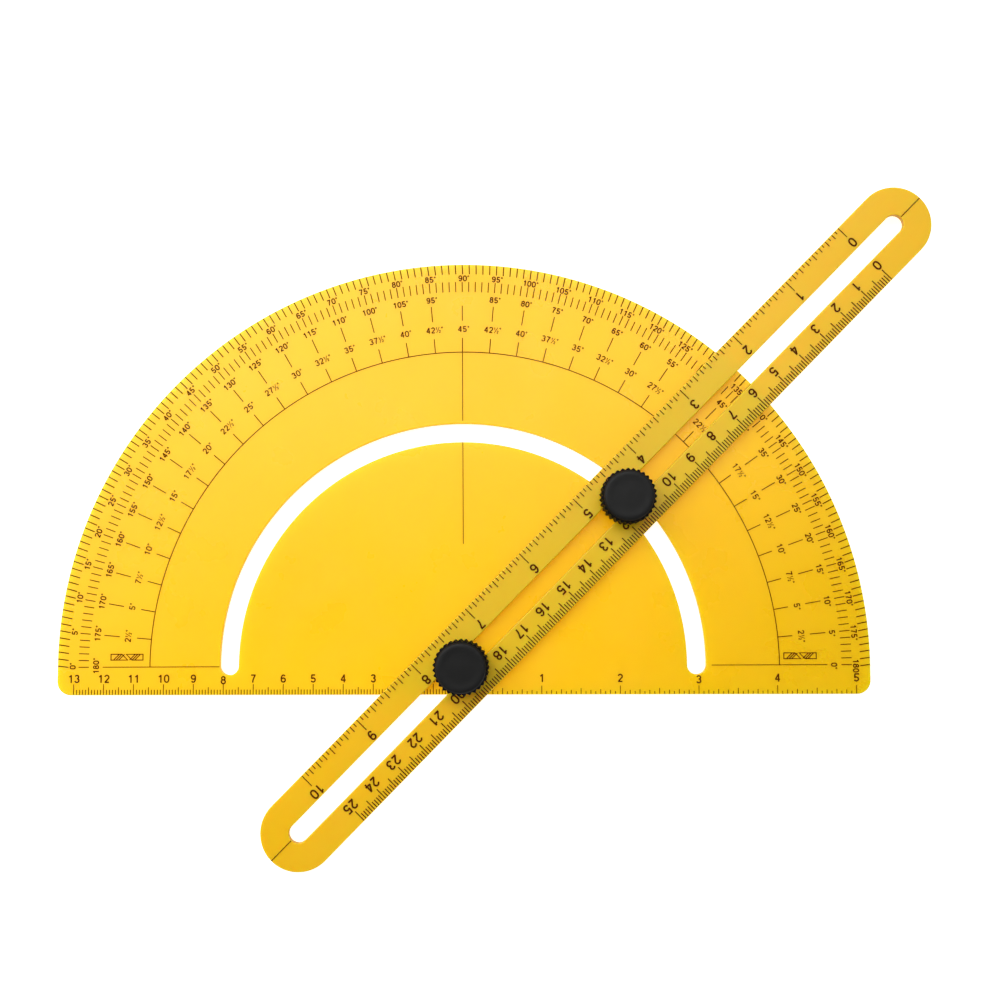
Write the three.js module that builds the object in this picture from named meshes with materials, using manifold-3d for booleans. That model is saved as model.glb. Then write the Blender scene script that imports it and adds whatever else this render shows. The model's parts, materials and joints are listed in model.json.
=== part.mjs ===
// A protractor with a sliding swing arm: a half-round plate with an arc slot, a slotted ruler arm that
// lies across it, and two ribbed knobs on screws that clamp the arm at the pivot and in the arc slot.
// Millimetres, +Z up. The pivot axis is the Z axis, +Y points at the 90 degree mark, the plate's straight
// edge faces -Y, and z = 0 is the underside of the two screw heads.
import * as THREE from "three";
import { mergeVertices } from "three/addons/utils/BufferGeometryUtils.js";
import Module from "manifold-3d";

const wasm = await Module();
wasm.setup();

// Plate
const PLATE_RADIUS = 133.9;
const EDGE_DROP = 9.6; // from the 0-180 line down to the straight edge
const CORNER_RADIUS = 4.5;
const PLATE_THICKNESS = 2.4;
const ARC_SLOT_RADIUS = 77; // centreline of the slot, which runs from 0 to 180 degrees
const PIVOT_HOLE_RADIUS = 4.05;

// Arm
const ARM_LENGTH = 306;
const ARM_WIDTH = 24.9;
const ARM_THICKNESS = 2.4;
const ARM_ANGLE = THREE.MathUtils.degToRad(45.38); // direction in which the arm lies at rest
const ARM_REACH = 205.25; // from the pivot to the centre of the arm's far round end at rest

// Both slots are cut by the same cutter
const SLOT_WIDTH = 6.2;
const EDGE_CHAMFER = 0.3;

// Screws
const HEAD_RADIUS = 7;
const HEAD_THICKNESS = 1.6;
const HEAD_CHAMFER = 0.4;
const JOURNAL_RADIUS = 3.95; // pivot screw, in the plate's round hole
const SHOULDER_RADIUS = 2.95; // clamp screw, in the arc slot
const NECK_WIDTH = 5.7; // square, in the arm's slot, so that the screw can't turn
const NECK_CORNER = 0.6;
const SHANK_RADIUS = 2.45;
const SHANK_CHAMFER = 0.5;
const SHANK_TOP_GAP = 1; // from the screw's tip to the roof of the knob's bore

// Washers
const FRICTION_WASHER = { inner: 4.15, outer: 6.6, thickness: 0.4 };
const KNOB_WASHER = { inner: 2.65, outer: 6.2, thickness: 0.9 };

// Knobs
const KNOB_HEIGHT = 11.8;
const KNOB_TIP_RADIUS = 9;
const KNOB_ROOT_RADIUS = 8.35;
const KNOB_RIBS = 31;
const RIB_END_RADIUS = 8.2; // the ribs slope in to this radius at the body's top and underside
const RIB_SLOPE_HEIGHT = 0.9;
const TOP_DISC_RADIUS = 8.1;
const TOP_DISC_RISE = 0.9;
const CORING = { inner: 5.6, outer: 7.2, depth: 7.5 }; // ring hollow in the knob's underside
const KNOB_BORE_RADIUS = 4.05;
const KNOB_BORE_DEPTH = 9;
const INSERT_RADIUS = 4;
const INSERT_BORE_RADIUS = 2.6;
const INSERT_LENGTH = 7.6;
const INSERT_GROOVE = { radius: 3.5, length: 1.2 };

// Levels, from the screw heads up. PLAY separates faces that slide on each other.
const PLAY = 0.1;
const PLATE_Z = HEAD_THICKNESS + PLAY;
const FRICTION_WASHER_Z = PLATE_Z + PLATE_THICKNESS + PLAY;
const ARM_Z = FRICTION_WASHER_Z + FRICTION_WASHER.thickness + PLAY;
const KNOB_WASHER_Z = ARM_Z + ARM_THICKNESS + PLAY;
const KNOB_Z = KNOB_WASHER_Z + KNOB_WASHER.thickness + PLAY;
const NECK_Z = ARM_Z - PLAY / 2;
const NECK_TOP = KNOB_WASHER_Z - PLAY / 2;
const SHANK_TOP = KNOB_Z + KNOB_BORE_DEPTH - SHANK_TOP_GAP;

const TURN = 2 * Math.PI;

// How finely round shapes are divided
const TURNED_SIDES = 36;
const RIM_STEPS = 120; // half circle of the plate's rim
const ARC_SLOT_STEPS = 72; // each long side of the arc slot
const ARM_END_STEPS = 24; // half circle of the arm's end
const SLOT_END_STEPS = 12; // half circle of a slot's end
const CORNER_STEPS = 8; // quarter circle of the plate's corner
const NECK_CORNER_STEPS = 4;
const POINTS_PER_RIB = 8;

// Booleans
const CUTTER_REACH = 1; // how far a cutter starts outside the face that it cuts
const JOIN_OVERLAP = 2; // how far a joined piece reaches into its neighbour
const RIB_CLEARANCE = 0.2; // between the rib tips and the envelope whose sloped ends cut them

const SHEET_YELLOW = { color: 0xffd23a, roughness: 0.35, metalness: 0 };
const ARM_YELLOW = { color: 0xf0c63c, roughness: 0.35, metalness: 0 };
const KNOB_BLACK = { color: 0x1e1e1f, roughness: 0.6, metalness: 0 };
const NYLON = { color: 0xe8e4d8, roughness: 0.6, metalness: 0 };
const STEEL = { color: 0xb9bbbd, roughness: 0.3, metalness: 1 };
const BRASS = { color: 0xc9a44a, roughness: 0.35, metalness: 1 };

// Points along an arc about (x, y), both ends included
function arc(x, y, radius, from, to, steps) {
  return Array.from({ length: steps + 1 }, (_, i) => {
    const angle = from + ((to - from) * i) / steps;
    return new THREE.Vector2(x + radius * Math.cos(angle), y + radius * Math.sin(angle));
  });
}

// Outline of a bar along X with half-round ends centred at x = left and x = right
function roundBar(left, right, radius, steps) {
  return [
    ...arc(right, 0, radius, -Math.PI / 2, Math.PI / 2, steps),
    ...arc(left, 0, radius, Math.PI / 2, (3 * Math.PI) / 2, steps),
  ];
}

// Sheet of the given outline and holes from z = 0 up, with chamfered edges
function sheet(outline, holes, thickness, chamfer) {
  const shape = new THREE.Shape(outline);
  shape.holes = holes.map((points) => new THREE.Path(points));
  return new THREE.ExtrudeGeometry(shape, {
    depth: thickness - 2 * chamfer,
    bevelEnabled: true,
    bevelSize: chamfer,
    bevelOffset: -chamfer,
    bevelThickness: chamfer,
    bevelSegments: 1,
  }).translate(0, 0, chamfer);
}

// Solid turned about Z from a profile of [radius, z] pairs
function turned(profile) {
  const points = profile.map(([radius, z]) => new THREE.Vector2(radius, z));
  return new THREE.LatheGeometry(points, TURNED_SIDES).rotateX(Math.PI / 2);
}

function toSolid(geometry) {
  const bare = geometry.clone().deleteAttribute("normal").deleteAttribute("uv");
  const merged = mergeVertices(bare, 1e-4);
  return new wasm.Manifold(
    new wasm.Mesh({
      numProp: 3,
      vertProperties: merged.attributes.position.array,
      triVerts: new Uint32Array(merged.index.array),
    }),
  );
}

function toGeometry(solid) {
  const { vertProperties, triVerts } = solid.getMesh();
  return new THREE.BufferGeometry()
    .setAttribute("position", new THREE.BufferAttribute(vertProperties, 3))
    .setIndex(new THREE.BufferAttribute(triVerts, 1));
}

function named(name, geometry, finish, z = 0) {
  const mesh = new THREE.Mesh(geometry, new THREE.MeshStandardMaterial(finish));
  mesh.name = name;
  mesh.position.z = z;
  return mesh;
}

function plate() {
  const cornerX = PLATE_RADIUS - CORNER_RADIUS;
  const cornerY = CORNER_RADIUS - EDGE_DROP;
  const outline = [
    ...arc(0, 0, PLATE_RADIUS, 0, Math.PI, RIM_STEPS),
    ...arc(-cornerX, cornerY, CORNER_RADIUS, Math.PI, 1.5 * Math.PI, CORNER_STEPS),
    ...arc(cornerX, cornerY, CORNER_RADIUS, 1.5 * Math.PI, TURN, CORNER_STEPS),
  ];
  const half = SLOT_WIDTH / 2;
  const arcSlot = [
    ...arc(0, 0, ARC_SLOT_RADIUS + half, 0, Math.PI, ARC_SLOT_STEPS),
    ...arc(-ARC_SLOT_RADIUS, 0, half, Math.PI, TURN, SLOT_END_STEPS).slice(1, -1),
    ...arc(0, 0, ARC_SLOT_RADIUS - half, Math.PI, 0, ARC_SLOT_STEPS),
    ...arc(ARC_SLOT_RADIUS, 0, half, Math.PI, TURN, SLOT_END_STEPS).slice(1, -1),
  ];
  const pivotHole = arc(0, 0, PIVOT_HOLE_RADIUS, 0, TURN, TURNED_SIDES).slice(0, -1);
  const geometry = sheet(outline, [arcSlot, pivotHole], PLATE_THICKNESS, EDGE_CHAMFER);
  return named("protractor_plate", geometry, SHEET_YELLOW, PLATE_Z);
}

// The arm lies along X with its far end at +X and the pivot at x = 0
function arm() {
  const near = ARM_REACH - (ARM_LENGTH - ARM_WIDTH);
  const outline = roundBar(near, ARM_REACH, ARM_WIDTH / 2, ARM_END_STEPS);
  const slot = roundBar(near, ARM_REACH, SLOT_WIDTH / 2, SLOT_END_STEPS);
  return named("swing_arm", sheet(outline, [slot], ARM_THICKNESS, EDGE_CHAMFER), ARM_YELLOW, ARM_Z);
}

// Flat-headed screw: a round shoulder through the plate, a square neck in the arm and a round shank
function screw(name, shoulderRadius) {
  const round = turned([
    [0, 0],
    [HEAD_RADIUS - HEAD_CHAMFER, 0],
    [HEAD_RADIUS, HEAD_CHAMFER],
    [HEAD_RADIUS, HEAD_THICKNESS],
    [shoulderRadius, HEAD_THICKNESS],
    [shoulderRadius, NECK_Z],
    [SHANK_RADIUS, NECK_Z],
    [SHANK_RADIUS, SHANK_TOP - SHANK_CHAMFER],
    [SHANK_RADIUS - SHANK_CHAMFER, SHANK_TOP],
    [0, SHANK_TOP],
  ]);
  const inset = NECK_WIDTH / 2 - NECK_CORNER;
  const corners = [
    [inset, inset, 0],
    [-inset, inset, 1],
    [-inset, -inset, 2],
    [inset, -inset, 3],
  ];
  const square = corners.flatMap(([x, y, quarter]) =>
    arc(x, y, NECK_CORNER, (quarter * TURN) / 4, ((quarter + 1) * TURN) / 4, NECK_CORNER_STEPS),
  );
  const neck = new THREE.ExtrudeGeometry(new THREE.Shape(square), {
    depth: NECK_TOP - NECK_Z,
    bevelEnabled: false,
  }).translate(0, 0, NECK_Z);
  return named(name, toGeometry(toSolid(round).add(toSolid(neck))), STEEL);
}

function ring(inner, outer, bottom, top) {
  return turned([
    [inner, bottom],
    [outer, bottom],
    [outer, top],
    [inner, top],
    [inner, bottom],
  ]);
}

function washer(name, { inner, outer, thickness }, finish, z) {
  return named(name, ring(inner, outer, 0, thickness), finish, z);
}

// Outline of the knob's ribs: a smooth wave between the root and tip radii
function ribbedOutline() {
  const count = KNOB_RIBS * POINTS_PER_RIB;
  return Array.from({ length: count }, (_, i) => {
    const angle = (TURN * i) / count;
    const wave = (1 + Math.cos(KNOB_RIBS * angle)) / 2;
    const radius = KNOB_ROOT_RADIUS + (KNOB_TIP_RADIUS - KNOB_ROOT_RADIUS) * wave;
    return new THREE.Vector2(radius * Math.cos(angle), radius * Math.sin(angle));
  });
}

// Moulded knob from z = 0 up: ribbed body, raised top disc, blind bore for the insert, hollow underside
function knob(name) {
  const bodyHeight = KNOB_HEIGHT - TOP_DISC_RISE;
  const ribbed = new THREE.ExtrudeGeometry(new THREE.Shape(ribbedOutline()), {
    depth: bodyHeight,
    bevelEnabled: false,
  });
  const wide = KNOB_TIP_RADIUS + RIB_CLEARANCE;
  const envelope = turned([
    [0, 0],
    [RIB_END_RADIUS, 0],
    [wide, RIB_SLOPE_HEIGHT],
    [wide, bodyHeight - RIB_SLOPE_HEIGHT],
    [RIB_END_RADIUS, bodyHeight],
    [0, bodyHeight],
  ]);
  const disc = turned([
    [0, bodyHeight - JOIN_OVERLAP],
    [TOP_DISC_RADIUS, bodyHeight - JOIN_OVERLAP],
    [TOP_DISC_RADIUS, bodyHeight + TOP_DISC_RISE / 3],
    [TOP_DISC_RADIUS - TOP_DISC_RISE, bodyHeight + TOP_DISC_RISE * 0.8],
    [TOP_DISC_RADIUS / 2, KNOB_HEIGHT],
    [0, KNOB_HEIGHT],
  ]);
  const bore = turned([
    [0, -CUTTER_REACH],
    [KNOB_BORE_RADIUS, -CUTTER_REACH],
    [KNOB_BORE_RADIUS, KNOB_BORE_DEPTH],
    [0, KNOB_BORE_DEPTH],
  ]);
  const coring = ring(CORING.inner, CORING.outer, -CUTTER_REACH, CORING.depth);
  const solid = toSolid(ribbed)
    .intersect(toSolid(envelope))
    .add(toSolid(disc))
    .subtract(toSolid(bore))
    .subtract(toSolid(coring));
  return named(name, toGeometry(solid), KNOB_BLACK, KNOB_Z);
}

// Brass insert with a groove round its middle that keys it into the moulding
function insert(name) {
  const grooveLow = (INSERT_LENGTH - INSERT_GROOVE.length) / 2;
  const grooveHigh = grooveLow + INSERT_GROOVE.length;
  const geometry = turned([
    [INSERT_BORE_RADIUS, 0],
    [INSERT_RADIUS, 0],
    [INSERT_RADIUS, grooveLow],
    [INSERT_GROOVE.radius, grooveLow],
    [INSERT_GROOVE.radius, grooveHigh],
    [INSERT_RADIUS, grooveHigh],
    [INSERT_RADIUS, INSERT_LENGTH],
    [INSERT_BORE_RADIUS, INSERT_LENGTH],
    [INSERT_BORE_RADIUS, 0],
  ]);
  return named(name, geometry, BRASS, KNOB_Z);
}

// One clamping station: screw, washers and knob on one axis
function station(prefix, shoulderRadius) {
  const group = new THREE.Group();
  group.add(
    screw(`${prefix}_screw`, shoulderRadius),
    washer(`${prefix}_friction_washer`, FRICTION_WASHER, NYLON, FRICTION_WASHER_Z),
    washer(`${prefix}_knob_washer`, KNOB_WASHER, STEEL, KNOB_WASHER_Z),
    knob(`${prefix}_knob`),
    insert(`${prefix}_knob_insert`),
  );
  return group;
}

const swing = new THREE.Group(); // everything that turns about the pivot
swing.rotation.z = ARM_ANGLE;
const pivotStation = station("pivot", JOURNAL_RADIUS);
const clampStation = station("clamp", SHOULDER_RADIUS);
clampStation.position.x = ARC_SLOT_RADIUS;
swing.add(arm(), pivotStation, clampStation);

const group = new THREE.Group();
group.add(plate(), swing);

export default group;
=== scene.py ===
import json
import math

import bpy
from mathutils import Matrix, Vector
from mathutils.geometry import delaunay_2d_cdt


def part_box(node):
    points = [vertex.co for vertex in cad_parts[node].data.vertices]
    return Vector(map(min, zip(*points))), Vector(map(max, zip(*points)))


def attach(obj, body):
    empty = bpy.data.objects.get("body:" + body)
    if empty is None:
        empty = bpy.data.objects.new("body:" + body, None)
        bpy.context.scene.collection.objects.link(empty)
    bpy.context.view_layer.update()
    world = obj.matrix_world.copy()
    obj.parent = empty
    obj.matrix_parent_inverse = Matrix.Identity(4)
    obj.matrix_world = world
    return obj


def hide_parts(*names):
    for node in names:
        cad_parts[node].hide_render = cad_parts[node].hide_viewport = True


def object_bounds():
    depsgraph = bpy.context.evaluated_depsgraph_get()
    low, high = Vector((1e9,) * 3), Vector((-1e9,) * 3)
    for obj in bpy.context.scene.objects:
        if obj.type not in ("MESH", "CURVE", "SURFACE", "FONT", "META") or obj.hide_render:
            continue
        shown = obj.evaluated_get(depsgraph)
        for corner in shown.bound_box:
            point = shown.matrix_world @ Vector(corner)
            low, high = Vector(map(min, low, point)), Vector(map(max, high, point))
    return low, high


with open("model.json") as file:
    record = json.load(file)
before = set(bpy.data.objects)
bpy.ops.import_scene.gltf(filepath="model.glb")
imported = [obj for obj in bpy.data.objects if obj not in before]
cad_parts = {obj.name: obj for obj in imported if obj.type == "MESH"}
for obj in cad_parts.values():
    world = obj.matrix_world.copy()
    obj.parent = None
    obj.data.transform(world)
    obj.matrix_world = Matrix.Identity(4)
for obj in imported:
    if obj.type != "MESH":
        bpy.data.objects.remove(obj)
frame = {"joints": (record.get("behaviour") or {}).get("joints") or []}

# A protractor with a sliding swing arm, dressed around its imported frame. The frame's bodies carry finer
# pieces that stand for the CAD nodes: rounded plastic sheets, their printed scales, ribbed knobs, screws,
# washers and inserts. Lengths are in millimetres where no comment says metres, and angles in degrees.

MM = 0.001
cad_low, cad_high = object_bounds()


# ---------------------------------------------------------------- sizes

def box(node):
    """Lowest and highest corner of a CAD node."""
    low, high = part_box(node)
    return low / MM, high / MM


def joint(name):
    return next(j for j in frame["joints"] if j["name"] == name)


plate_low, plate_high = box("protractor_plate")
arm_low, arm_high = box("swing_arm")
arm_axis = Vector(joint("arm_slide")["axis"])
clamp_axis = Vector(joint("clamp_knob_turn")["pos_m"]) / MM

# Plate
PLATE_RADIUS = plate_high.x
PLATE_EDGE = plate_low.y
PLATE_CORNER = 4.5
PIVOT_HOLE_RADIUS = 4.05
ARC_SLOT_RADIUS = math.hypot(clamp_axis.x, clamp_axis.y)

# Arm, along its own axis from the pivot
ARM_ANGLE = math.degrees(math.atan2(arm_axis.y, arm_axis.x))
ARM_WIDTH = 24.9
ARM_FAR = (arm_high.x - ARM_WIDTH / 2) / arm_axis.x
ARM_NEAR = (arm_low.x + ARM_WIDTH / 2) / arm_axis.x

# Both sheets
SLOT_HALF = 3.1
EDGE_ROUNDING = 0.3
ROUNDING_STEPS = 4

# Screws. The pivot screw's journal turns in the plate's hole, and the clamp screw's shoulder runs in its slot
HEAD_RADIUS = 7
HEAD_THICKNESS = 1.6
HEAD_ROUNDING = 0.4
JOURNAL_RADIUS = 3.95
SHOULDER_RADIUS = 2.95
NECK_HALF = 2.85
NECK_CORNER = 0.6
NECK_SPARE = 0.05  # the neck is this much longer than the arm is thick, at both ends
NECK_STEP = 0.01  # height between a neck's end and the next part
SHANK_RADIUS = 2.45
SHANK_CHAMFER = 0.5
SHANK_ROUNDING = 0.15

# Washers, by their inner and outer radius
FRICTION_WASHER = (4.15, 6.6)
KNOB_WASHER = (2.65, 6.2)
WASHER_ROUNDING = 0.12

# Knobs: the ribbed body and its hollow underside
KNOB_TIP = 9
KNOB_ROOT = 8.35
KNOB_RIBS = 31
COLUMNS_PER_RIB = 12
RIB_FLATNESS = 0.8  # power of the ribs' wave, which below 1 gives broad tips and narrow roots
RIB_END_RADIUS = 8.2
RIB_END_HEIGHT = 0.9
RIB_END_ROWS = (0.0, 0.03, 0.08, 0.15, 0.25, 0.37, 0.5, 0.65, 0.82, 1.0)  # shares of that height
RIB_END_EXCESS = 0.2  # the curve of the ribs' ends runs this far past their tips
RIB_END_BLEND = 0.12  # radii this close are blended where the ribs meet that curve
UNDERSIDE_INSET = 0.2
UNDERSIDE_ROUNDING = 0.25
CORING = (5.6, 7.2)  # inner and outer radius of the ring-shaped hollow
CORING_DEPTH = 7.5
BORE_RADIUS = 4.05
BORE_DEPTH = 9

# Knobs: the disc on top, with a low ring, a shallow groove inside it and a faintly domed middle
DISC_RADIUS = 8.1
DISC_RISE = 0.9
DISC_FOOT = (0.06, 0.02)  # the disc starts this far inside the ribs' ends, and its side this far up
DISC_SIDE = 0.1
DISC_ROUNDING = 0.8
DISC_ROUNDING_RISE = DISC_RISE - 0.14
DISC_ROUNDING_TURN = 80
DISC_ROUNDING_STEPS = 10
RING_RADIUS = 6.9
DISH_RADIUS = 4.7
DISH_DEPTH = 0.08
DOME_RISE = 0.05
DISH_STEPS = 8

# Inserts
INSERT_RADIUS = 4
INSERT_BORE_RADIUS = 2.6
INSERT_GROOVE_RADIUS = 3.5
INSERT_GROOVE_LENGTH = 1.2
INSERT_ROUNDING = 0.15

# Printing
INK_PROUD = 0.02
INK_SUNK = 0.05
PRINT_MARGIN = 0.15  # marks that run to an edge end this far inside it

# Steps along curves
RIM_STEPS = 240
CORNER_STEPS = 14
ARC_SLOT_STEPS = 160
SLOT_END_STEPS = 24
PIVOT_HOLE_STEPS = 64
ARM_END_STEPS = 48
TURNED_COLUMNS = 96

# Tolerances
SAME_POINT = 1e-6
ON_AXIS = 1e-9
TRIANGULATION_GRAIN = 1e-5


# ---------------------------------------------------------------- camera

LENS = 46.29
SENSOR = 36
CAMERA_PLACE = (17.54, 26.1, plate_high.z + 425.9)
CAMERA_TURN = (-3.815, -0.688, 0.159)  # the frame's turn about X, Y and Z, as the camera sees it


def add_camera():
    data = bpy.data.cameras.new("camera")
    data.lens = LENS
    data.sensor_width = SENSOR
    camera = bpy.data.objects.new("camera", data)
    bpy.context.scene.collection.objects.link(camera)
    about_x, about_y, about_z = (math.radians(a) for a in CAMERA_TURN)
    to_camera = (
        Matrix.Rotation(about_x, 3, "X")
        @ Matrix.Rotation(about_y, 3, "Y")
        @ Matrix.Rotation(about_z, 3, "Z")
    )
    place = Matrix.Translation(Vector(CAMERA_PLACE) * MM)
    camera.matrix_world = place @ to_camera.transposed().to_4x4()
    bpy.context.scene.camera = camera


# ---------------------------------------------------------------- outlines

def bow(x, y, radius_x, radius_y, start, end, steps):
    """Points along part of an ellipse about (x, y), both ends included."""
    angles = [math.radians(start + (end - start) * i / steps) for i in range(steps + 1)]
    return [(x + radius_x * math.cos(a), y + radius_y * math.sin(a)) for a in angles]


def arc(x, y, radius, start, end, steps):
    return bow(x, y, radius, radius, start, end, steps)


def without_repeats(points):
    """A closed loop without points that lie on the one before them."""
    return [p for i, p in enumerate(points) if math.dist(p, points[i - 1]) > SAME_POINT]


def turned_by(points, degrees):
    c, s = math.cos(math.radians(degrees)), math.sin(math.radians(degrees))
    return [(x * c - y * s, x * s + y * c) for x, y in points]


def plate_loops(inset):
    """The plate's outline, anticlockwise, and its holes, clockwise, moved into the material by inset."""
    corner_x = PLATE_RADIUS - PLATE_CORNER
    corner_y = PLATE_EDGE + PLATE_CORNER
    outline = [
        *arc(0, 0, PLATE_RADIUS - inset, 0, 180, RIM_STEPS),
        *arc(-corner_x, corner_y, PLATE_CORNER - inset, 180, 270, CORNER_STEPS),
        *arc(corner_x, corner_y, PLATE_CORNER - inset, 270, 360, CORNER_STEPS),
    ]
    half = SLOT_HALF + inset
    slot = [
        *arc(0, 0, ARC_SLOT_RADIUS + half, 0, 180, ARC_SLOT_STEPS),
        *arc(-ARC_SLOT_RADIUS, 0, half, 180, 360, SLOT_END_STEPS),
        *arc(0, 0, ARC_SLOT_RADIUS - half, 180, 0, ARC_SLOT_STEPS),
        *arc(ARC_SLOT_RADIUS, 0, half, 180, 360, SLOT_END_STEPS),
    ]
    hole = arc(0, 0, PIVOT_HOLE_RADIUS + inset, 0, 360, PIVOT_HOLE_STEPS)
    return [without_repeats(outline), without_repeats(slot)[::-1], without_repeats(hole)[::-1]]


def round_bar(radius, steps):
    """A bar with round ends along the arm's own axis."""
    return without_repeats(
        arc(ARM_FAR, 0, radius, -90, 90, steps) + arc(ARM_NEAR, 0, radius, 90, 270, steps)
    )


def arm_loops(inset):
    """The arm's outline and slot, as plate_loops gives the plate's."""
    outline = round_bar(ARM_WIDTH / 2 - inset, ARM_END_STEPS)
    slot = round_bar(SLOT_HALF + inset, SLOT_END_STEPS)
    return [turned_by(outline, ARM_ANGLE), turned_by(slot, ARM_ANGLE)[::-1]]


# ---------------------------------------------------------------- meshes

def fill(outlines, holes=()):
    """Triangles over the anticlockwise outlines, less the clockwise holes.

    Returns their points, the triangles, and for each point its indices among the points given.
    """
    loops, points = [], []
    for loop in (*outlines, *holes):
        indices = list(range(len(points), len(points) + len(loop)))
        loops.append(indices if len(loops) < len(outlines) else indices[::-1])
        points += [Vector(p) for p in loop]
    made = delaunay_2d_cdt(points, [], loops, 0, TRIANGULATION_GRAIN, True)
    points, _, triangles, given, _, covers = made
    solid = [t for t, over in zip(triangles, covers) if over and max(over) < len(outlines)]
    return points, solid, given


def band(lower, upper):
    """Faces between two closed rings of points."""
    return [(lower[i - 1], lower[i], upper[i], upper[i - 1]) for i in range(len(lower))]


def edge_profile(low, high):
    """Inset and height of each ring of points up a sheet's rounded edge."""
    turns = [math.pi / 2 * i / ROUNDING_STEPS for i in range(ROUNDING_STEPS + 1)]
    lower = [(EDGE_ROUNDING * (1 - math.sin(a)), low + EDGE_ROUNDING * (1 - math.cos(a))) for a in turns]
    return lower + [(inset, low + high - z) for inset, z in reversed(lower)]


def sheet(loops_at, low, high):
    """A flat sheet with rounded edges: its points, its walls, and its flat faces on top and below."""
    points, rows = [], []
    for inset, z in edge_profile(low, high):
        row = []
        for loop in loops_at(inset):
            row.append(range(len(points), len(points) + len(loop)))
            points += [(x, y, z) for x, y in loop]
        rows.append(row)
    walls = []
    for lower, upper in zip(rows, rows[1:]):
        for a, b in zip(lower, upper):
            walls += band(a, b)
    outline, *holes = loops_at(EDGE_ROUNDING)
    _, triangles, given = fill([outline], holes)
    flat = [[given[i][0] for i in t] for t in triangles]
    top = rows[-1][0][0]
    caps = [[i + top for i in t] for t in flat] + [t[::-1] for t in flat]
    return points, walls, caps


def prism(outlines, low, high):
    """One closed solid over the union of the outlines."""
    flat, triangles, _ = fill(outlines)
    count = len(flat)
    points = [(x, y, high) for x, y in flat] + [(x, y, low) for x, y in flat]
    edges = {(t[i - 1], t[i]): None for t in triangles for i in range(3)}
    sides = [(a + count, b + count, b, a) for a, b in edges if (b, a) not in edges]
    underside = [[i + count for i in t[::-1]] for t in triangles]
    return points, [*triangles, *underside, *sides]


MOST_OF_A_SIDE = 0.45  # a corner's curve takes at most this share of the sides beside it


def rounded(profile, radius, steps=4):
    """A profile with every corner between its ends made a small curve, on short sides a smaller one."""
    made = [profile[0]]
    for before, corner, after in zip(profile, profile[1:], profile[2:]):
        corner = Vector(corner)
        a, b = Vector(before) - corner, Vector(after) - corner
        reach = min(radius, a.length * MOST_OF_A_SIDE, b.length * MOST_OF_A_SIDE)
        start, end = corner + a.normalized() * reach, corner + b.normalized() * reach
        for i in range(steps + 1):
            t = i / steps
            made.append(tuple(start * (1 - t) ** 2 + corner * 2 * t * (1 - t) + end * t * t))
    return made + [profile[-1]]


def revolved(profile, columns, radius_at=None):
    """A solid turned about Z from (radius, z) pairs that run anticlockwise round its section.

    radius_at(radius, z, angle) can give a row's points another radius. A profile that starts and ends on
    the axis closes there, and any other profile closes on itself.
    """
    angles = [2 * math.pi * i / columns for i in range(columns)]
    points, rows = [], []
    for radius, z in profile:
        if radius < ON_AXIS:
            rows.append([len(points)] * columns)
            points.append((0, 0, z))
            continue
        rows.append(list(range(len(points), len(points) + columns)))
        for angle in angles:
            r = radius_at(radius, z, angle) if radius_at else radius
            points.append((r * math.cos(angle), r * math.sin(angle), z))
    if profile[0][0] > ON_AXIS:
        rows.append(rows[0])
    faces = []
    for lower, upper in zip(rows, rows[1:]):
        faces += [tuple(dict.fromkeys(face)) for face in band(lower, upper)]
    return points, faces


def add_piece(name, points, faces, finish, body, flat_faces=(), place=(0, 0), turn=0):
    """An object made of smooth and flat faces, which rides on a body and takes one finish."""
    mesh = bpy.data.meshes.new(name)
    mesh.from_pydata([Vector(p) * MM for p in points], [], [*faces, *flat_faces])
    mesh.polygons.foreach_set("use_smooth", [True] * len(faces) + [False] * len(flat_faces))
    mesh.materials.append(finish)
    piece = bpy.data.objects.new(name, mesh)
    bpy.context.scene.collection.objects.link(piece)
    piece.location = (place[0] * MM, place[1] * MM, 0)
    piece.rotation_euler.z = math.radians(turn)
    if not flat_faces:
        # a piece that is smooth all over is shaded by its larger faces, so that its flats look flat
        weighted = piece.modifiers.new("weighted_normals", "WEIGHTED_NORMAL")
        weighted.keep_sharp = True
    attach(piece, body)
    return piece


# ---------------------------------------------------------------- lettering

# All of these are shares of a numeral's height
STROKE = 0.175
SMALL_STROKE = 0.2  # for the angle scales' small numerals
DIGIT_WIDTH = 0.66
DIGIT_ADVANCE = 0.8  # from one character to the next
ADVANCE = {"°": 0.4, "½": 0.92}  # the same for the characters that are no digits
SIDE_BEARING = 0.07
FRACTION_DIGIT = 0.45

THIN_SHARE = 0.6  # line width of degree signs and fractions, against that of digits
LOOP_STEPS = 20
MITRE_LIMIT = 0.5  # a bend's corner reaches out at most half a line's width over this


def loop(x, y, radius_x, radius_y):
    return bow(x, y, radius_x, radius_y, 0, 360, LOOP_STEPS)


def moved(strokes, scale, x, y):
    return [[(x + px * scale, y + py * scale) for px, py in stroke] for stroke in strokes]


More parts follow.
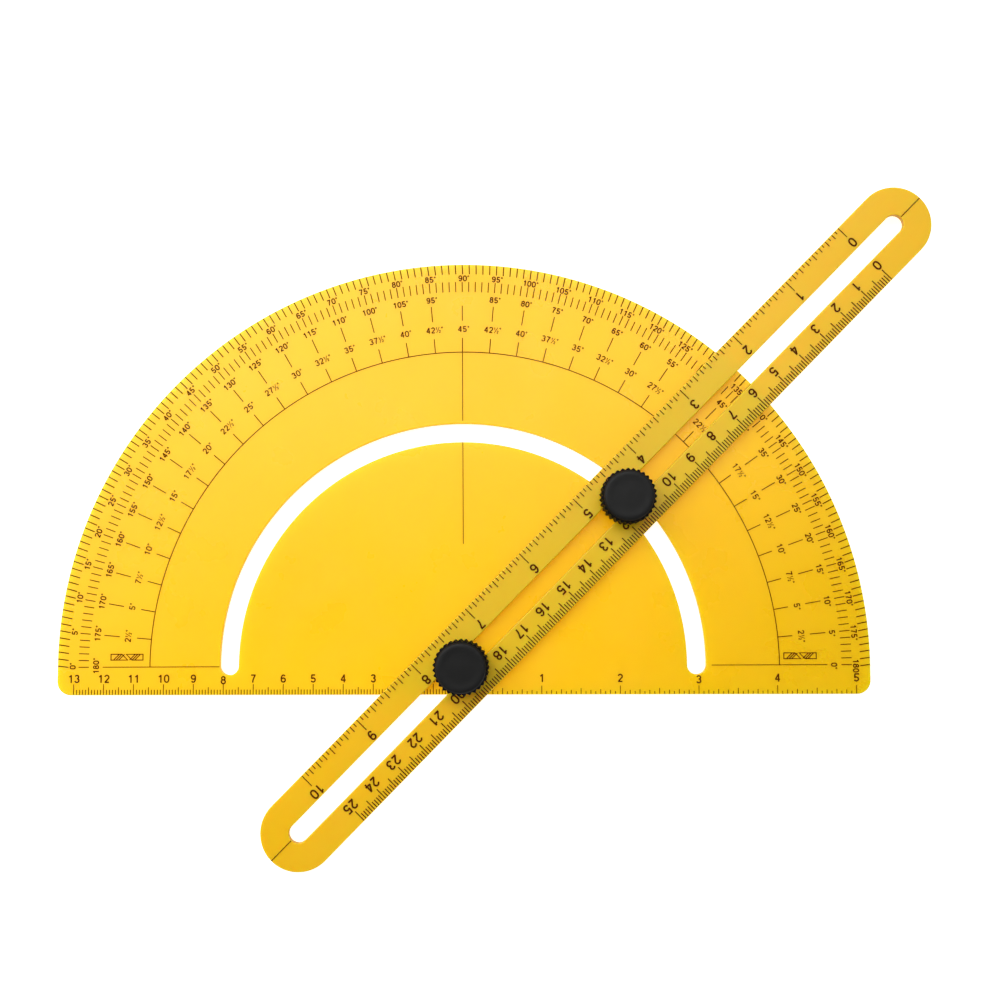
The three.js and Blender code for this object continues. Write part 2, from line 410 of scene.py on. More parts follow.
def numerals():
    """Each character's centrelines in a box one unit high."""
    upper = bow(0.33, 0.62, 0.26, 0.32, 0, 180, 12)
    lower = bow(0.33, 0.38, 0.26, 0.32, 180, 360, 12)
    made = {
        "0": [[*upper, *lower, upper[0]]],
        "1": [[(0.40, 0), (0.40, 1)], [(0.13, 0.76), (0.26, 0.785), (0.34, 0.85), (0.385, 0.97)]],
        "2": [[*bow(0.33, 0.695, 0.25, 0.245, 170, -32, 12), (0.10, 0.07)], [(0.05, 0.06), (0.60, 0.06)]],
        "3": [bow(0.32, 0.735, 0.22, 0.205, 165, -90, 12), bow(0.32, 0.295, 0.255, 0.235, 90, -165, 12)],
        "4": [[(0.46, 0), (0.46, 1)], [(0.45, 0.95), (0.07, 0.31)], [(0.03, 0.29), (0.64, 0.29)]],
        "5": [
            [(0.57, 0.94), (0.11, 0.94)],
            [(0.155, 0.97), (0.115, 0.46)],
            bow(0.32, 0.31, 0.26, 0.25, 146, -160, 14),
        ],
        "6": [loop(0.335, 0.31, 0.255, 0.25), bow(0.345, 0.5, 0.265, 0.44, 42, 190, 12)],
        "7": [[(0.04, 0.94), (0.62, 0.94)], [(0.58, 0.93), (0.42, 0.66), (0.30, 0.34), (0.26, 0)]],
        "8": [loop(0.33, 0.735, 0.21, 0.205), loop(0.33, 0.30, 0.255, 0.24)],
        "°": [loop(0.14, 0.86, 0.1, 0.1)],
    }
    made["9"] = [[(DIGIT_WIDTH - x, 1 - y) for x, y in stroke] for stroke in made["6"]]
    one = moved(made["1"], FRACTION_DIGIT, -0.02, 0.52)
    two = moved(made["2"], FRACTION_DIGIT, 0.48, 0)
    made["½"] = [*one, [(0.1, 0), (0.62, 1)], *two]
    return made


NUMERALS = numerals()


def ribbon(points, width):
    """Quadrilaterals along a line, mitred where it bends. A line that ends where it starts closes."""
    points = [Vector(p) for p in points]
    points = [p for i, p in enumerate(points) if i == 0 or (p - points[i - 1]).length > SAME_POINT]
    steps = [(b - a).normalized() for a, b in zip(points, points[1:])]
    closed = (points[0] - points[-1]).length < SAME_POINT
    before = [steps[-1] if closed else steps[0], *steps]
    after = [*steps, steps[0] if closed else steps[-1]]
    left, right = [], []
    for p, a, b in zip(points, before, after):
        along = (a + b).normalized()
        out = Vector((-along.y, along.x)) * width / 2 / max(along.dot(b), MITRE_LIMIT)
        left.append(p + out)
        right.append(p - out)
    return [[right[i], right[i + 1], left[i + 1], left[i]] for i in range(len(steps))]


def label(text, height, centre, up, stroke_width=STROKE):
    """A line of numerals with its tops towards up, centred on a point but for its degree sign."""
    centre, up = Vector(centre), Vector(up)
    right = Vector((up.y, -up.x))
    x = -sum(ADVANCE.get(c, DIGIT_ADVANCE) for c in text if c != "°") / 2
    made = []
    for c in text:
        weight = stroke_width * height * (THIN_SHARE if c in ADVANCE else 1)
        for stroke in NUMERALS[c]:
            line = [
                centre + right * (x + SIDE_BEARING + px) * height + up * (py - 0.5) * height
                for px, py in stroke
            ]
            made += ribbon(line, weight)
        x += ADVANCE.get(c, DIGIT_ADVANCE)
    return made


# ---------------------------------------------------------------- printed scales

# Line widths
FINE = 0.26
MEDIUM = 0.3
BOLD = 0.34

# Each circular scale of the plate, from the rim inwards: radii of its marks, or of its numerals' middles
RIM_TICKS = (PLATE_RADIUS - PRINT_MARGIN, 130.4)
OUTER_NUMERALS = 129.0
INNER_TICKS = (127.6, 124.2)
INNER_NUMERALS = 121.8
FIVE_DEGREE_TICKS = (119.6, 114.5)
MITRE_NUMERALS = 111.7
MITRE_TICKS = (108.7, 103.9)
SWAPPED = {100: 105, 105: 100}  # the photographed plate has these two numerals in each other's place
# The photographed angle scales lie a little askew: narrower, taller, leaning, tilted and off the pivot
PRINT_WIDTH = 0.998
PRINT_HEIGHT = 1.0045
PRINT_LEAN = -0.0035
PRINT_TILT = 0.0015
PRINT_SHIFT = (0.45, -0.2)
RIM_SHIFT = (0.15, -0.4)
PLATE_NUMERAL_HEIGHT = 1.9
MITRE_NUMERAL_HEIGHT = 2.0
CENTRE_LINE_END = 40.0
CENTRE_LINE_GAP = 0.8  # it stops this far short of the slot's outer edge
BASE_LINE_GAP = 1.5

# Straight scales along the plate's edge. Tick lengths go by the largest step that a tick falls on
EDGE_ZERO = 0.3
EDGE_CENTIMETRE = 9.9
EDGE_INCH = 25.78
EDGE_NUMERAL_HEIGHT = 2.6
EDGE_NUMERAL_PLACE = 5.4
EDGE_NUMERAL_DROP = 0.5  # the numeral below each end of the arc slot lies this much lower
EDGE_CENTIMETRE_TICKS = {10: 3.6, 5: 2.6, 1: 1.8}
EDGE_INCH_TICKS = {16: 2.9, 8: 2.1, 4: 1.7, 2: 1.5, 1: 1.1}

# Scales of the arm
ARM_ZERO = ARM_FAR - 14.2
ARM_NUMERAL_HEIGHT = 3.2
ARM_NUMERAL_PLACE = 6.85
ARM_CENTIMETRE_TICKS = {10: 4.7, 5: 4.5, 1: 2.95}
ARM_INCH_TICKS = {16: 4.3, 8: 2.5, 4: 2.3, 2: 2.0, 1: 1.3}
ARM_INCH = 25.3
ARM_CENTIMETRE = 9.955
ARM_DRIFT = 0.0019  # the print lies a little askew on the arm, by this slope

# Small sign of two hatched bars that meet at a mitre
SIGN_LENGTH = 10.6
SIGN_HEIGHT = 1.9
SIGN_GAP = 1.0
SIGN_HATCH = 0.85
SIGN_LINE = 0.32
SIGN_PLACE = 110.9  # middle of the sign, right and left of the centre
SIGN_LIFT = 2.9


def unit(degrees):
    return Vector((math.cos(math.radians(degrees)), math.sin(math.radians(degrees))))


def polar(radius, degrees):
    """A point of the angle scales."""
    x, y = radius * unit(degrees)
    across = PRINT_WIDTH * x + PRINT_LEAN * y
    up = PRINT_TILT * x + PRINT_HEIGHT * y
    return Vector((across, up)) + Vector(PRINT_SHIFT)


def by_rim(radius, degrees):
    """A point of the outermost marks and numerals, which follow the rim more closely."""
    x, y = radius * unit(degrees)
    return Vector((x, PRINT_HEIGHT * y)) + Vector(RIM_SHIFT)


def radial(ends, degrees, width):
    return ribbon([polar(r, degrees) for r in ends], width)


def radial_arc(radius):
    return ribbon([polar(radius, degrees) for degrees in range(181)], MEDIUM)


def tick_length(lengths, i):
    """Length of the i-th tick, from lengths by step, the largest step first."""
    return next(length for step, length in lengths.items() if i % step == 0)


def mitre_sign(x, y):
    """Two hatched bars whose facing ends are cut at 45 degrees."""
    half, high = SIGN_LENGTH / 2, SIGN_HEIGHT / 2
    cut = (SIGN_GAP * math.sqrt(2)) / 2
    made = []
    for side in (-1, 1):
        # the first bar, and the second as the first turned half round
        corners = [(-half, -high), (high - cut, -high), (-high - cut, high), (-half, high), (-half, -high)]
        strokes = [corners]
        start = -half + SIGN_HATCH
        while start + 2 * high < -high - cut + SIGN_HATCH:
            strokes.append([(start, -high), (start + 2 * high, high)])
            start += SIGN_HATCH
        for stroke in strokes:
            made += ribbon([(x - side * px, y - side * py) for px, py in stroke], SIGN_LINE)
    return made


def angle_scales():
    made = []
    for degrees in range(181):
        made += ribbon([unit(degrees) * RIM_TICKS[0], by_rim(RIM_TICKS[1], degrees)], BOLD)
        made += radial(INNER_TICKS, degrees, MEDIUM)
    for degrees in range(0, 181, 5):
        up = unit(degrees)
        half = min(degrees, 180 - degrees) // 2
        fraction = "½" if degrees % 10 else ""
        rows = [(180 - degrees, by_rim(OUTER_NUMERALS, degrees))]
        if degrees != 90:
            rows.append((SWAPPED.get(degrees, degrees), polar(INNER_NUMERALS, degrees)))
        for value, middle in rows:
            made += label(f"{value}°", PLATE_NUMERAL_HEIGHT, middle, up, SMALL_STROKE)
        if degrees not in (0, 180):
            made += radial(FIVE_DEGREE_TICKS, degrees, MEDIUM)
            made += radial(MITRE_TICKS, degrees, MEDIUM)
            made += label(f"{half}{fraction}°", MITRE_NUMERAL_HEIGHT, polar(MITRE_NUMERALS, degrees), up)
    made += radial_arc(MITRE_TICKS[1])
    return made


def centre_and_base_lines():
    slot_outside = ARC_SLOT_RADIUS + SLOT_HALF
    slot_inside = ARC_SLOT_RADIUS - SLOT_HALF
    made = radial((MITRE_TICKS[1], slot_outside + CENTRE_LINE_GAP), 90, FINE)
    made += radial((slot_inside - PRINT_MARGIN, CENTRE_LINE_END), 90, FINE)
    made += radial((FIVE_DEGREE_TICKS[0], slot_outside + BASE_LINE_GAP), 0, FINE)
    # the print's shift moves the left line's end towards the slot, so it is drawn as much shorter
    made += radial((FIVE_DEGREE_TICKS[0], slot_outside + PRINT_SHIFT[0] + 2 * PRINT_MARGIN), 180, FINE)
    made += mitre_sign(SIGN_PLACE, SIGN_LIFT) + mitre_sign(-SIGN_PLACE, SIGN_LIFT)
    return made


def edge_scales():
    """Centimetres to the left of the middle and inches to the right."""
    made = []
    edge = PLATE_EDGE + PRINT_MARGIN
    rows = [
        (-EDGE_CENTIMETRE, 10, 13, EDGE_CENTIMETRE_TICKS),
        (EDGE_INCH, 16, 5, EDGE_INCH_TICKS),
    ]
    for whole, parts, last, lengths in rows:
        for i in range(last * parts + 1):
            x = EDGE_ZERO + whole * i / parts
            made += ribbon([(x, edge), (x, PLATE_EDGE + tick_length(lengths, i))], FINE)
        for i in range(1, last + 1):
            x = EDGE_ZERO + whole * i
            below_slot = abs(abs(x) - ARC_SLOT_RADIUS) < SLOT_HALF
            y = PLATE_EDGE + EDGE_NUMERAL_PLACE - (EDGE_NUMERAL_DROP if below_slot else 0)
            made += label(str(i), EDGE_NUMERAL_HEIGHT, (x, y), (0, 1))
    made += label("0", EDGE_NUMERAL_HEIGHT, (EDGE_ZERO, PLATE_EDGE + EDGE_NUMERAL_PLACE), (0, 1))
    return made


def arm_scales():
    """Inches along one edge and centimetres along the other, from the far end, and a line at each end."""
    made = []
    rows = [
        (ARM_INCH, 16, 10, ARM_INCH_TICKS, 1, MEDIUM),
        (ARM_CENTIMETRE, 10, 25, ARM_CENTIMETRE_TICKS, -1, BOLD),
    ]
    half = ARM_WIDTH / 2
    for whole, parts, last, lengths, side, width in rows:
        for i in range(last * parts + 1):
            out = whole * i / parts
            x = ARM_ZERO - out
            end = side * (half - tick_length(lengths, i)) - ARM_DRIFT * out
            made += ribbon([(x, side * (half - PRINT_MARGIN)), (x, end)], width)
        for i in range(last + 1):
            out = whole * i
            place = (ARM_ZERO - out, side * (half - ARM_NUMERAL_PLACE) - ARM_DRIFT * out)
            made += label(str(i), ARM_NUMERAL_HEIGHT, place, (0, -1))
    for middle, side in ((ARM_FAR, 1), (ARM_NEAR, -1)):
        line = [(middle + side * (SLOT_HALF + PRINT_MARGIN), 0), (middle + side * (half - PRINT_MARGIN), 0)]
        made += ribbon(line, MEDIUM)
    return [turned_by(quad, ARM_ANGLE) for quad in made]


# ---------------------------------------------------------------- finishes

# Parts of a noise's range that are spread over the whole of a mix
WIDE = (0.3, 0.7)
NARROW = (0.35, 0.65)

WALL_TILT = (0.3, 0.85)  # a normal's upward share, where a wall ends and where a flat face starts
WALL_DULLNESS = 0.15  # how much rougher the sheets' walls are

# How far red, green and blue light travel inside a material, against one another
SHEET_DEPTHS = (1.0, 0.7, 0.08)
NYLON_DEPTHS = (1.0, 0.9, 0.7)
NYLON_REACH = 0.6

# Painted shade: the sheets' colour darkens towards the lower right, where the lamps light them less
PAINTED_SHADE_SPAN = (-0.03, 0.12)  # metres to the lower right of the pivot, where the painted shade starts and where it is full
PAINTED_SHADE_SLOPE = 0.7  # a step down the sheet counts this much of a step to the right

# The knobs' ribs are duller than their disc, and painted a little darker as shade, from a little inside the
# disc's edge to a little outside
RIBS_START = (DISC_RADIUS - 0.35, DISC_RADIUS + 0.2)
DISC_SPECULAR = 0.25
RIBS_SPECULAR_LOSS = 0.15
RIBS_DULLNESS = 0.18

TURNING_RINGS = 9  # scale of the turned metals' rings, over a distance in millimetres


def set_range(node, low, high, to_low, to_high):
    """Makes a Map Range node map low..high to to_low..to_high. It holds the value at both ends."""
    node.inputs["From Min"].default_value = low
    node.inputs["From Max"].default_value = high
    node.inputs["To Min"].default_value = to_low
    node.inputs["To Max"].default_value = to_high


class Finish:
    """A node material: one Principled shader, and short ways to add the nodes that drive it.

    The nodes take their place, in metres, from the piece itself, so a pattern moves with its piece.
    """

    def __init__(self, name, **values):
        self.material = bpy.data.materials.new(name)
        self.material.use_nodes = True
        self.tree = self.material.node_tree
        self.shader = self.tree.nodes["Principled BSDF"]
        for socket, value in values.items():
            self.shader.inputs[socket.replace("_", " ")].default_value = value
        self.place = self.add("ShaderNodeTexCoord").outputs["Object"]
        self.bumps = None

    def add(self, kind, **inputs):
        node = self.tree.nodes.new(kind)
        for name, value in inputs.items():
            self.connect(value, node.inputs[name.replace("_", " ")])
        return node

    def connect(self, value, socket):
        if isinstance(value, bpy.types.NodeSocket):
            self.tree.links.new(value, socket)
        else:
            socket.default_value = value

    def drive(self, socket, value):
        self.connect(value, self.shader.inputs[socket])

    def noise(self, per_metre, detail):
        made = self.add("ShaderNodeTexNoise", Vector=self.place, Scale=per_metre, Detail=detail)
        return made.outputs["Fac"]

    def spread(self, value, low, high, to_low=0.0, to_high=1.0):
        node = self.add("ShaderNodeMapRange", Value=value)
        set_range(node, low, high, to_low, to_high)
        return node.outputs["Result"]

    def maths(self, operation, a, b=0.0):
        node = self.tree.nodes.new("ShaderNodeMath")
        node.operation = operation
        self.connect(a, node.inputs[0])
        self.connect(b, node.inputs[1])
        return node.outputs[0]

    def blend(self, share, a, b):
        """Colour a, turned towards b by a share. A Mix node has its colour sockets after the others."""
        node = self.tree.nodes.new("ShaderNodeMix")
        node.data_type = "RGBA"
        for socket, value in ((node.inputs[0], share), (node.inputs[6], a), (node.inputs[7], b)):
            self.connect(value, socket)
        return node.outputs[2]

    def bump(self, height, depth_mm):
        """Adds a relief of that depth to the ones already there."""
        node = self.add("ShaderNodeBump", Height=height)
        node.inputs["Distance"].default_value = depth_mm * MM
        if self.bumps:
            self.connect(self.bumps, node.inputs["Normal"])
        self.bumps = node.outputs["Normal"]
        self.drive("Normal", self.bumps)

    def from_axis(self):
        """Distance from the object's own Z axis."""
        split = self.add("ShaderNodeSeparateXYZ", Vector=self.place)
        x, y = split.outputs["X"], split.outputs["Y"]
        square = self.maths("ADD", self.maths("MULTIPLY", x, x), self.maths("MULTIPLY", y, y))
        return self.maths("MULTIPLY", self.maths("SQRT", square), 1 / MM)

    def wall(self):
        """1 on the object's upright faces, 0 on its flat ones."""
        normal = self.add("ShaderNodeNewGeometry").outputs["Normal"]
        up = self.maths("ABSOLUTE", self.add("ShaderNodeSeparateXYZ", Vector=normal).outputs["Z"])
        return self.spread(up, *WALL_TILT, 1.0, 0.0)


def colour(red, green, blue):
    """sRGB values from 0 to 255 as a linear colour."""

    def linear(value):
        share = value / 255
        return share / 12.92 if share <= 0.04045 else ((share + 0.055) / 1.055) ** 2.4

    return (linear(red), linear(green), linear(blue), 1)


def sheet_plastic(name, light, deep, edge, far, roughness, gloss, reach):
    """Translucent yellow sheet: drifting tone, smeared gloss, a slightly wavy surface, and duller walls
    painted darker as shade.

    Its colour turns towards far at lower right, a painted shade, and light travels about reach millimetres
    inside it.
    """
    made = Finish(name, IOR=1.49, Specular_IOR_Level=gloss, Subsurface_Weight=0.9)
    made.shader.inputs["Subsurface Radius"].default_value = SHEET_DEPTHS
    made.shader.inputs["Subsurface Scale"].default_value = reach * MM
    drift = made.spread(made.noise(per_metre=14, detail=3), *NARROW)
    split = made.add("ShaderNodeSeparateXYZ", Vector=made.place)
    up = made.maths("MULTIPLY", split.outputs["Y"], PAINTED_SHADE_SLOPE)
    down_right = made.maths("SUBTRACT", split.outputs["X"], up)
    # painted shade: the colour turns towards far towards the lower right
    tone = made.blend(made.spread(down_right, *PAINTED_SHADE_SPAN), made.blend(drift, light, deep), far)
    wall = made.wall()
    # the walls take the darker edge colour, a painted shade that keeps the rounded edges from glowing
    made.drive("Base Color", made.blend(wall, tone, edge))
    smear = made.spread(made.noise(per_metre=60, detail=4), 0.35, 0.7, roughness - 0.05, roughness + 0.06)
    made.drive("Roughness", made.maths("ADD", smear, made.maths("MULTIPLY", wall, WALL_DULLNESS)))
    made.bump(made.noise(per_metre=180, detail=2), depth_mm=0.02)
    made.bump(made.noise(per_metre=5200, detail=2), depth_mm=0.0015)
    return made.material


def ink():
    """Dark brown screen-printing ink, a little uneven."""
    made = Finish("brown_ink", IOR=1.45, Specular_IOR_Level=0.04)
    uneven = made.spread(made.noise(per_metre=2600, detail=3), 0.3, 0.75)
    made.drive("Base Color", made.blend(uneven, colour(78, 34, 1), colour(98, 48, 2)))
    made.drive("Roughness", made.spread(made.noise(per_metre=900, detail=2), *WIDE, 0.5, 0.68))
    made.bump(made.noise(per_metre=7000, detail=2), depth_mm=0.002)
    return made.material


def knob_plastic():
    """Black moulded plastic with a fine grain, matt and a little darker on the ribs, a painted shade, and
    smoother on the handled disc.
    """
    made = Finish("knob_black", IOR=1.5)
    ribs = made.spread(made.from_axis(), *RIBS_START)
    cloud = made.spread(made.noise(per_metre=160, detail=3), *WIDE)
    black = made.blend(cloud, colour(10, 10, 10), colour(15, 15, 14))
    # painted shade: the ribs take a slightly darker black
    made.drive("Base Color", made.blend(ribs, black, colour(9, 8, 8)))
    loss = made.maths("MULTIPLY", ribs, RIBS_SPECULAR_LOSS)
    made.drive("Specular IOR Level", made.maths("SUBTRACT", DISC_SPECULAR, loss))
    rough = made.spread(made.noise(per_metre=420, detail=3), *WIDE, 0.42, 0.52)
    made.drive("Roughness", made.maths("ADD", rough, made.maths("MULTIPLY", ribs, RIBS_DULLNESS)))
    made.bump(made.noise(per_metre=6500, detail=3), depth_mm=0.012)
    made.bump(made.noise(per_metre=700, detail=2), depth_mm=0.01)
    return made.material


def turned_metal(name, light, dark, roughness):
    """Metal with turning rings and a faint mottled film."""
    made = Finish(name, Metallic=1.0)
    film = made.spread(made.noise(per_metre=500, detail=4), *NARROW)
    made.drive("Base Color", made.blend(film, light, dark))
    patches = made.noise(per_metre=1100, detail=3)
    made.drive("Roughness", made.spread(patches, *WIDE, roughness - 0.06, roughness + 0.08))
    rings = made.tree.nodes.new("ShaderNodeTexNoise")
    rings.noise_dimensions = "1D"
    rings.inputs["Scale"].default_value = TURNING_RINGS
    made.connect(made.from_axis(), rings.inputs["W"])
    made.bump(rings.outputs["Fac"], depth_mm=0.012)
    made.bump(made.noise(per_metre=4000, detail=2), depth_mm=0.003)
    return made.material


def nylon():
    """Off-white nylon that lets a little light in."""
    made = Finish("washer_nylon", IOR=1.53, Specular_IOR_Level=0.4, Subsurface_Weight=0.5)
    made.shader.inputs["Subsurface Radius"].default_value = NYLON_DEPTHS
    made.shader.inputs["Subsurface Scale"].default_value = NYLON_REACH * MM
    cloud = made.spread(made.noise(per_metre=700, detail=3), *WIDE)
    made.drive("Base Color", made.blend(cloud, colour(238, 234, 222), colour(226, 220, 204)))
    made.drive("Roughness", made.spread(made.noise(per_metre=1500, detail=2), *WIDE, 0.5, 0.65))
    made.bump(made.noise(per_metre=5000, detail=2), depth_mm=0.004)
    return made.material


PLATE_FINISH = sheet_plastic(
    "plate_yellow",
    light=colour(236, 186, 4),
    deep=colour(234, 183, 3),
    # the walls' colour, a painted shade
    edge=colour(206, 146, 3),
    far=colour(203, 174, 3),
    roughness=0.31,
    gloss=0.36,
    reach=14,
)
ARM_FINISH = sheet_plastic(
    "arm_yellow",
    light=colour(242, 203, 6),
    deep=colour(240, 199, 5),
    # the walls' colour, a painted shade
    edge=colour(196, 146, 5),
    far=colour(240, 201, 5),
    roughness=0.38,
    gloss=0.46,
    reach=2.0,
)
INK = ink()
KNOB_FINISH = knob_plastic()
ZINC = turned_metal("screw_zinc", colour(196, 198, 200), colour(176, 179, 184), 0.3)
WASHER_ZINC = turned_metal("washer_zinc", colour(204, 206, 208), colour(186, 189, 193), 0.26)
BRASS = turned_metal("insert_brass", colour(214, 178, 98), colour(192, 152, 74), 0.3)
NYLON = nylon()


# ---------------------------------------------------------------- pieces

def add_sheets():
    points, walls, caps = sheet(plate_loops, plate_low.z, plate_high.z)
    plate = add_piece("plate", points, walls, PLATE_FINISH, "protractor", caps)
    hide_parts("protractor_plate")
    points, walls, caps = sheet(arm_loops, arm_low.z, arm_high.z)
    arm = add_piece("arm", points, walls, ARM_FINISH, "arm", caps)
    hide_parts("swing_arm")


def add_printing():
    plate_marks = angle_scales() + centre_and_base_lines() + edge_scales()
    rows = [
        ("plate_printing", plate_marks, plate_high.z, "protractor"),
        ("arm_printing", arm_scales(), arm_high.z, "arm"),
    ]
    for name, outlines, surface, body in rows:
        points, faces = prism(outlines, surface - INK_SUNK, surface + INK_PROUD)
        add_piece(name, points, [], INK, body, flat_faces=faces)


def square_radius(angle):
    """Distance from the axis to the rounded square neck, at an angle from one of its sides."""
    folded = abs((angle + math.pi / 4) % (math.pi / 2) - math.pi / 4)
    flat = NECK_HALF - NECK_CORNER
    if NECK_HALF * math.tan(folded) <= flat:
        return NECK_HALF / math.cos(folded)
    reach, off = flat * math.sqrt(2), folded - math.pi / 4
    return reach * math.cos(off) + math.sqrt(NECK_CORNER**2 - (reach * math.sin(off)) ** 2)


def screw(node, shoulder):
    """From below: a flat head, a round shoulder, a square neck and a plain shank."""
    top = box(node)[1].z
    neck_low = arm_low.z - NECK_SPARE
    neck_high = arm_high.z + NECK_SPARE
    head_and_shoulder = [
        (0, 0),
        (HEAD_RADIUS, 0),
        (HEAD_RADIUS, HEAD_THICKNESS),
        (shoulder, HEAD_THICKNESS),
        (shoulder, neck_low),
    ]
    widest = NECK_HALF * math.sqrt(2)  # stands for the neck's own radius at each angle
    neck = [(widest, neck_low + NECK_STEP), (widest, neck_high)]
    shank = [
        (SHANK_RADIUS, neck_high + NECK_STEP),
        (SHANK_RADIUS, top - SHANK_CHAMFER),
        (SHANK_RADIUS - SHANK_CHAMFER, top),
        (0, top),
    ]

    def radius_at(radius, z, angle):
        return square_radius(angle) if radius == widest else radius

    profile = rounded(head_and_shoulder, HEAD_ROUNDING) + neck + rounded(shank, SHANK_ROUNDING)
    return revolved(profile, TURNED_COLUMNS, radius_at)


def washer(node, radii):
    """A flat ring with rounded edges."""
    low, high = box(node)
    inner, outer = radii
    middle = (low.z + high.z) / 2
    profile = [
        (inner, middle),
        (inner, low.z),
        (outer, low.z),
        (outer, high.z),
        (inner, high.z),
        (inner, middle),
    ]
    return revolved(rounded(profile, WASHER_ROUNDING)[:-1], TURNED_COLUMNS)


def ribbed_radius(z, angle, bottom, body_top):
    """The ribs' wave, drawn in at both ends of the body."""
    wave = (1 + math.cos(KNOB_RIBS * angle)) / 2
    ribs = KNOB_ROOT + (KNOB_TIP - KNOB_ROOT) * wave**RIB_FLATNESS
    depth = min(z - bottom, body_top - z) / RIB_END_HEIGHT
    reach = KNOB_TIP + RIB_END_EXCESS - RIB_END_RADIUS
    ends = RIB_END_RADIUS + reach * math.sin(min(depth, 1) * math.pi / 2)
    share = max(RIB_END_BLEND - abs(ribs - ends), 0) / RIB_END_BLEND
    return min(ribs, ends) - share * share * RIB_END_BLEND / 4


def knob_underside(bottom):
    """The bore's roof and wall, and the ring-shaped hollow around it."""
    coring_in, coring_out = CORING
    bore_roof = bottom + BORE_DEPTH
    coring_roof = bottom + CORING_DEPTH
    profile = [
        (0, bore_roof),
        (BORE_RADIUS, bore_roof),
        (BORE_RADIUS, bottom),
        (coring_in, bottom),
        (coring_in, coring_roof),
        (coring_out, coring_roof),
        (coring_out, bottom),
        (RIB_END_RADIUS - UNDERSIDE_INSET, bottom),
    ]
    return rounded(profile, UNDERSIDE_ROUNDING)


def knob_disc(body_top, top):
    """The disc's foot, side and rounded edge, its ring, its groove and the dome in the middle."""
    foot_inset, foot_rise = DISC_FOOT
    edge = bow(
        DISC_RADIUS - DISC_ROUNDING,
        body_top + DISC_SIDE,
        DISC_ROUNDING,
        DISC_ROUNDING_RISE,
        0,
        DISC_ROUNDING_TURN,
        DISC_ROUNDING_STEPS,
    )
    profile = [(RIB_END_RADIUS - foot_inset, body_top), (DISC_RADIUS, body_top + foot_rise), *edge]
    steps = [i / DISH_STEPS for i in range(DISH_STEPS + 1)]
    falls = [(1 - math.cos(math.pi * s)) / 2 for s in steps]
    for s, fall in zip(steps, falls):
        profile.append((RING_RADIUS + (DISH_RADIUS - RING_RADIUS) * s, top - DISH_DEPTH * fall))
    for s, fall in zip(steps[1:], falls[1:]):
        profile.append((DISH_RADIUS * (1 - s), top - DISH_DEPTH + DOME_RISE * fall))
    return profile


def knob(node):
    low, high = box(node)
    bottom, top = low.z, high.z
    body_top = top - DISC_RISE
    rise = [bottom + RIB_END_HEIGHT * share for share in RIB_END_ROWS]
    fall = [body_top - RIB_END_HEIGHT * share for share in reversed(RIB_END_ROWS)]
    ribs = [(RIB_END_RADIUS, z) for z in (*rise, *fall)]

    def radius_at(radius, z, angle):
        return ribbed_radius(z, angle, bottom, body_top) if radius == RIB_END_RADIUS else radius

    profile = knob_underside(bottom) + ribs + knob_disc(body_top, top)
    return revolved(profile, KNOB_RIBS * COLUMNS_PER_RIB, radius_at)


def insert(node):
    """A sleeve with a groove round its middle."""
    low, high = box(node)
    middle = (low.z + high.z) / 2
    groove_low = middle - INSERT_GROOVE_LENGTH / 2
    groove_high = middle + INSERT_GROOVE_LENGTH / 2
    profile = [
        (INSERT_BORE_RADIUS, middle),
        (INSERT_BORE_RADIUS, low.z),
        (INSERT_RADIUS, low.z),
        (INSERT_RADIUS, groove_low),
        (INSERT_GROOVE_RADIUS, groove_low),
        (INSERT_GROOVE_RADIUS, groove_high),
        (INSERT_RADIUS, groove_high),
        (INSERT_RADIUS, high.z),
        (INSERT_BORE_RADIUS, high.z),
        (INSERT_BORE_RADIUS, middle),
    ]
    return revolved(rounded(profile, INSERT_ROUNDING)[:-1], TURNED_COLUMNS)


def add_station(station, shoulder, place):
    """A screw, its washers, the knob and its insert, on one axis."""
    rows = [
        ("screw", screw, (shoulder,), ZINC, "swing", "screw_steel"),
        ("friction_washer", washer, (FRICTION_WASHER,), NYLON, "swing", "washer_nylon"),
        ("knob_washer", washer, (KNOB_WASHER,), WASHER_ZINC, f"{station}_washer", "washer_steel"),
        ("knob", knob, (), KNOB_FINISH, f"{station}_knob", "knob_plastic"),
        ("knob_insert", insert, (), BRASS, f"{station}_knob", "insert_brass"),
    ]
    for part, make, sizes, finish, body, slot in rows:
        node = f"{station}_{part}"
        points, faces = make(node, *sizes)
        piece = add_piece(f"{node}_fine", points, faces, finish, body, place=place, turn=ARM_ANGLE)
        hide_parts(node)


# ---------------------------------------------------------------- stage and light

WHITE = (1, 1, 1, 1)
PAPER = (0.7, 0.7, 0.7, 1)
PAPER_GRAIN = (0.685, 0.685, 0.683, 1)
FLOOR_SIZE = 12  # metres
FLOOR_GLOW = 0.85
FLOOR_DROP = 0.05
WALL_LIGHT = 0.42
CEILING_LIGHT = 0.1
CEILING_EDGE = (0.75, 0.92)  # upward share of a direction, where the walls end and the ceiling starts

# Each soft box's place, width and height in metres, and its power in watts
LIGHTS = {
    "key": ((-0.42, 0.3, 0.5), 0.6, 0.6, 2.7),
    "top": ((0.0, 0.47, 1.0), 0.8, 0.66, 4.4),
    "fill": ((0.9, -0.7, 0.8), 1.0, 1.0, 0.4),
}


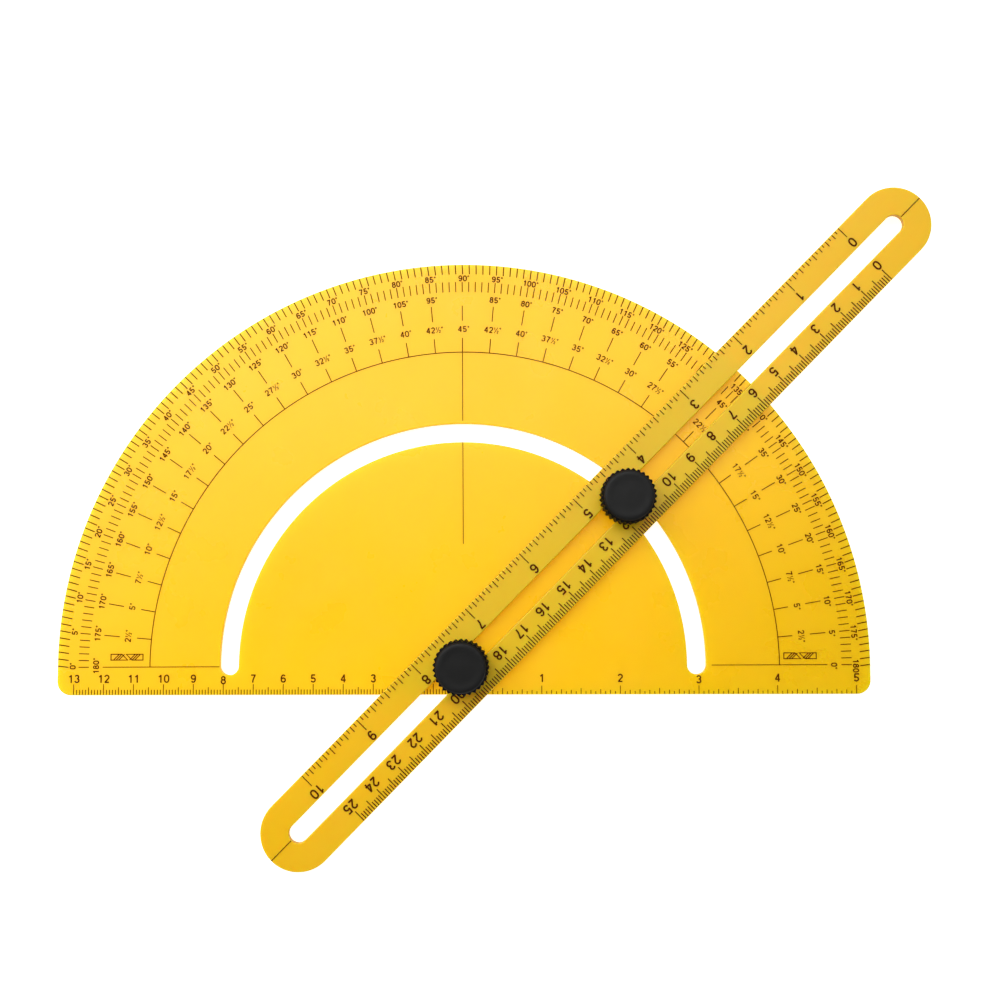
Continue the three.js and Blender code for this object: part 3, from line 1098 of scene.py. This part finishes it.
def add_floor():
    """Pale paper that glows a little, as paper on a light table does."""
    mesh = bpy.data.meshes.new("floor")
    half = FLOOR_SIZE / 2
    z = cad_low.z - FLOOR_DROP * MM
    corners = [(-half, -half, z), (half, -half, z), (half, half, z), (-half, half, z)]
    mesh.from_pydata(corners, [], [(0, 1, 2, 3)])
    paper = Finish("floor_paper", Roughness=0.9, Specular_IOR_Level=0.1)
    grain = paper.spread(paper.noise(per_metre=900, detail=3), *WIDE)
    paper.drive("Base Color", paper.blend(grain, PAPER, PAPER_GRAIN))
    paper.shader.inputs["Emission Color"].default_value = WHITE
    paper.shader.inputs["Emission Strength"].default_value = FLOOR_GLOW
    mesh.materials.append(paper.material)
    floor = bpy.data.objects.new("floor", mesh)
    bpy.context.scene.collection.objects.link(floor)


def add_light(name, place, width, height, power):
    """A soft box that faces the middle of the instrument and isn't seen itself."""
    data = bpy.data.lights.new(name, "AREA")
    data.shape = "RECTANGLE"
    data.size = width
    data.size_y = height
    data.energy = power
    light = bpy.data.objects.new(name, data)
    bpy.context.scene.collection.objects.link(light)
    light.location = place
    target = (cad_low + cad_high) / 2
    light.rotation_euler = (target - light.location).to_track_quat("-Z", "Y").to_euler()
    light.visible_camera = False


def add_room():
    """Pale walls under a darker ceiling light the pieces. The camera itself sees plain white."""
    world = bpy.data.worlds.new("room")
    bpy.context.scene.world = world
    world.use_nodes = True
    nodes, links = world.node_tree.nodes, world.node_tree.links
    room = nodes["Background"]
    split = nodes.new("ShaderNodeSeparateXYZ")
    links.new(nodes.new("ShaderNodeTexCoord").outputs["Generated"], split.inputs[0])
    ceiling = nodes.new("ShaderNodeMapRange")
    links.new(split.outputs["Z"], ceiling.inputs["Value"])
    set_range(ceiling, *CEILING_EDGE, WALL_LIGHT, CEILING_LIGHT)
    links.new(ceiling.outputs["Result"], room.inputs["Strength"])
    seen = nodes.new("ShaderNodeBackground")
    seen.inputs["Strength"].default_value = 1
    for background in (room, seen):
        background.inputs["Color"].default_value = WHITE
    mix = nodes.new("ShaderNodeMixShader")
    links.new(nodes.new("ShaderNodeLightPath").outputs["Is Camera Ray"], mix.inputs[0])
    links.new(room.outputs[0], mix.inputs[1])
    links.new(seen.outputs[0], mix.inputs[2])
    links.new(mix.outputs[0], nodes["World Output"].inputs["Surface"])


# ---------------------------------------------------------------- assembly

add_camera()
add_sheets()
add_printing()
add_station("pivot", JOURNAL_RADIUS, (0, 0))
add_station("clamp", SHOULDER_RADIUS, (clamp_axis.x, clamp_axis.y))
add_floor()
for name, settings in LIGHTS.items():
    add_light(name, *settings)
add_room()
bpy.context.scene.view_settings.view_transform = "Standard"
